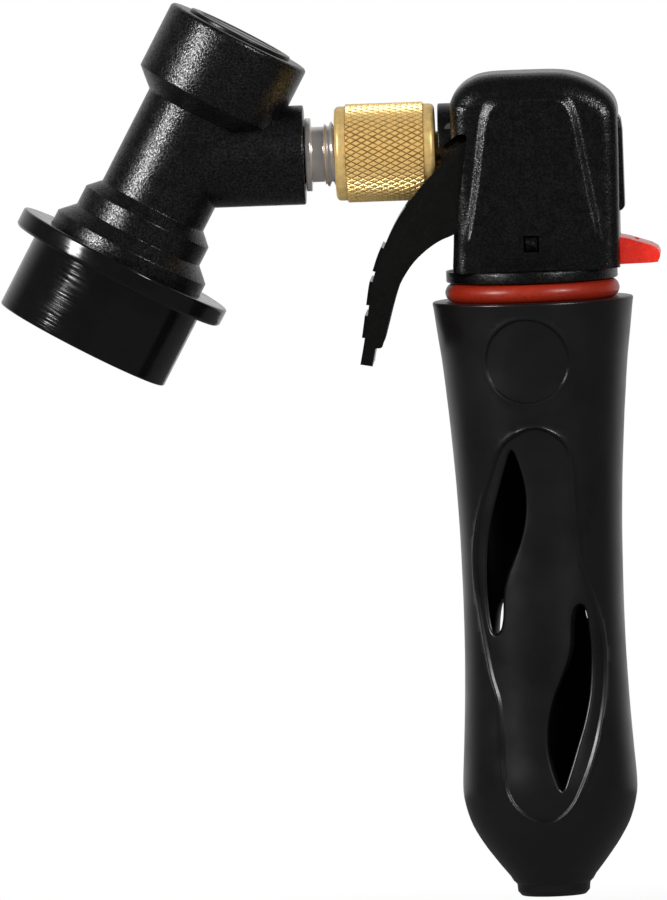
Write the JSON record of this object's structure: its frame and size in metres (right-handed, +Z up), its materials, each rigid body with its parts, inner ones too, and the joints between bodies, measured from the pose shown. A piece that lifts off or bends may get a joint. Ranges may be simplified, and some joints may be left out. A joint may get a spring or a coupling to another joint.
{
  "type": "keg gas charger",
  "caption": "Hand-held gas charger: a ball-lock keg disconnect joined by a knurled swivel nut to a trigger handle with a windowed barrel for a gas cartridge.",
  "frame": {"origin": "centre of the keg post socket, at the seat where the keg's post stops", "axes": "+Z up along the handle's axis, +X from the disconnect to the handle, +Y to the far side; the socket's axis lies in the XZ plane, 29.1 degrees from Z"},
  "size_m": [0.1137, 0.039, 0.1558],
  "materials": {
    "body_black": "textured moulded black plastic",
    "collar_black": "polished moulded black plastic",
    "cover_black": "glass-filled black nylon, fine grain",
    "barrel_black": "smooth satin black plastic",
    "trigger_black": "satin black plastic",
    "nut_brass": "knurled, lightly polished brass",
    "valve_brass": "turned brass",
    "stainless": "turned stainless steel",
    "spring_steel": "drawn stainless wire",
    "ball_steel": "polished steel",
    "rubber_black": "black rubber",
    "seal_red": "orange-red silicone rubber",
    "tab_red": "glossy red plastic",
    "washer_white": "natural nylon",
    "poppet_grey": "dark grey plastic",
    "filter_bronze": "sintered bronze",
    "pad_grey": "dark grey rubber"
  },
  "bodies": {
    "disconnect": {"disconnect_body": "body_black", "disconnect_cap": "body_black", "cap_ring": "rubber_black", "collar_spring": "spring_steel", "poppet_spring": "spring_steel", "flare_fitting": "stainless", "fitting_ring": "rubber_black"},
    "collar": {"release_collar": "collar_black"},
    "ball_1": {"lock_ball_1": "ball_steel"},
    "ball_2": {"lock_ball_2": "ball_steel"},
    "ball_3": {"lock_ball_3": "ball_steel"},
    "poppet": {"poppet": "poppet_grey", "poppet_seal": "rubber_black"},
    "outlet": {"outlet_stem": "valve_brass", "flare_washer": "washer_white", "stem_ring": "rubber_black"},
    "nut": {"knurled_nut": "nut_brass"},
    "head": {"head_frame": "cover_black", "head_cover": "cover_black", "valve_manifold": "valve_brass", "stem_keeper_pin": "stainless", "piercing_pin": "stainless", "cartridge_seal": "rubber_black", "gas_filter": "filter_bronze", "valve_stem_ring": "rubber_black", "valve_spring": "spring_steel", "valve_plug": "valve_brass", "trigger_pivots": "stainless", "seal_ring": "seal_red"},
    "valve": {"valve_stem": "stainless", "valve_seal": "rubber_black"},
    "trigger": {"trigger": "trigger_black"},
    "slide": {"safety_slide": "tab_red"},
    "rest": {"cartridge_rest": "pad_grey"},
    "barrel": {"barrel": "barrel_black"}
  },
  "joints": [
    {"name": "charger_draw", "type": "slide", "parent": "disconnect", "child": "outlet", "axis": [1, 0, 0], "range_m": [0, 0.00635]},
    {"name": "nut_turn", "type": "hinge", "parent": "outlet", "child": "nut", "pos_m": [0.03246, 0, 0.0187], "axis": [1, 0, 0], "range_deg": [0, 1801]},
    {"name": "charger_swivel", "type": "hinge", "parent": "outlet", "child": "head", "pos_m": [0.03246, 0, 0.0187], "axis": [1, 0, 0], "continuous": true},
    {"name": "trigger_pull", "type": "hinge", "parent": "head", "child": "trigger", "pos_m": [0.06436, 0, 0.01835], "axis": [0, -1, 0], "range_deg": [0, 14.05], "stiffness_Nm_per_rad": 1, "springref_deg": -8.59},
    {"name": "valve_stem_slide", "type": "slide", "parent": "head", "child": "valve", "axis": [1, 0, 0], "range_m": [0, 0.0024], "deforming": ["valve_spring"]},
    {"name": "safety_shift", "type": "slide", "parent": "head", "child": "slide", "axis": [-1, 0, 0], "range_m": [0, 0.0034]},
    {"name": "barrel_draw", "type": "slide", "parent": "head", "child": "rest", "axis": [0, 0, -1], "range_m": [0, 0.008]},
    {"name": "barrel_turn", "type": "hinge", "parent": "rest", "child": "barrel", "pos_m": [0.07076, 0, -0.00735], "axis": [0, 0, -1], "range_deg": [0, 1441]},
    {"name": "collar_lift", "type": "slide", "parent": "disconnect", "child": "collar", "axis": [0.4863, 0, 0.8738], "range_m": [0, 0.004], "stiffness_N_per_m": 300, "springref_m": -0.01, "deforming": ["collar_spring"]},
    {"name": "poppet_push", "type": "slide", "parent": "disconnect", "child": "poppet", "axis": [0.4863, 0, 0.8738], "range_m": [0, 0.003], "stiffness_N_per_m": 984, "springref_m": -0.003, "deforming": ["poppet_spring"]},
    {"name": "ball_1_out", "type": "slide", "parent": "disconnect", "child": "ball_1", "axis": [0.4369, 0.866, -0.2432], "range_m": [0, 0.00086]},
    {"name": "ball_2_out", "type": "slide", "parent": "disconnect", "child": "ball_2", "axis": [-0.8738, 0, 0.4863], "range_m": [0, 0.00086]},
    {"name": "ball_3_out", "type": "slide", "parent": "disconnect", "child": "ball_3", "axis": [0.4369, -0.866, -0.2432], "range_m": [0, 0.00086]}
  ],
  "couplings": [
    {"joint": "nut_turn", "follows": "charger_draw", "rad_per_m": 4947.4},
    {"joint": "trigger_pull", "follows": "valve_stem_slide", "rad_per_m": 101.64},
    {"joint": "barrel_turn", "follows": "barrel_draw", "rad_per_m": 3141.6},
    {"joint": "ball_1_out", "follows": "collar_lift", "ratio": 0.2125},
    {"joint": "ball_2_out", "follows": "collar_lift", "ratio": 0.2125},
    {"joint": "ball_3_out", "follows": "collar_lift", "ratio": 0.2125}
  ]
}
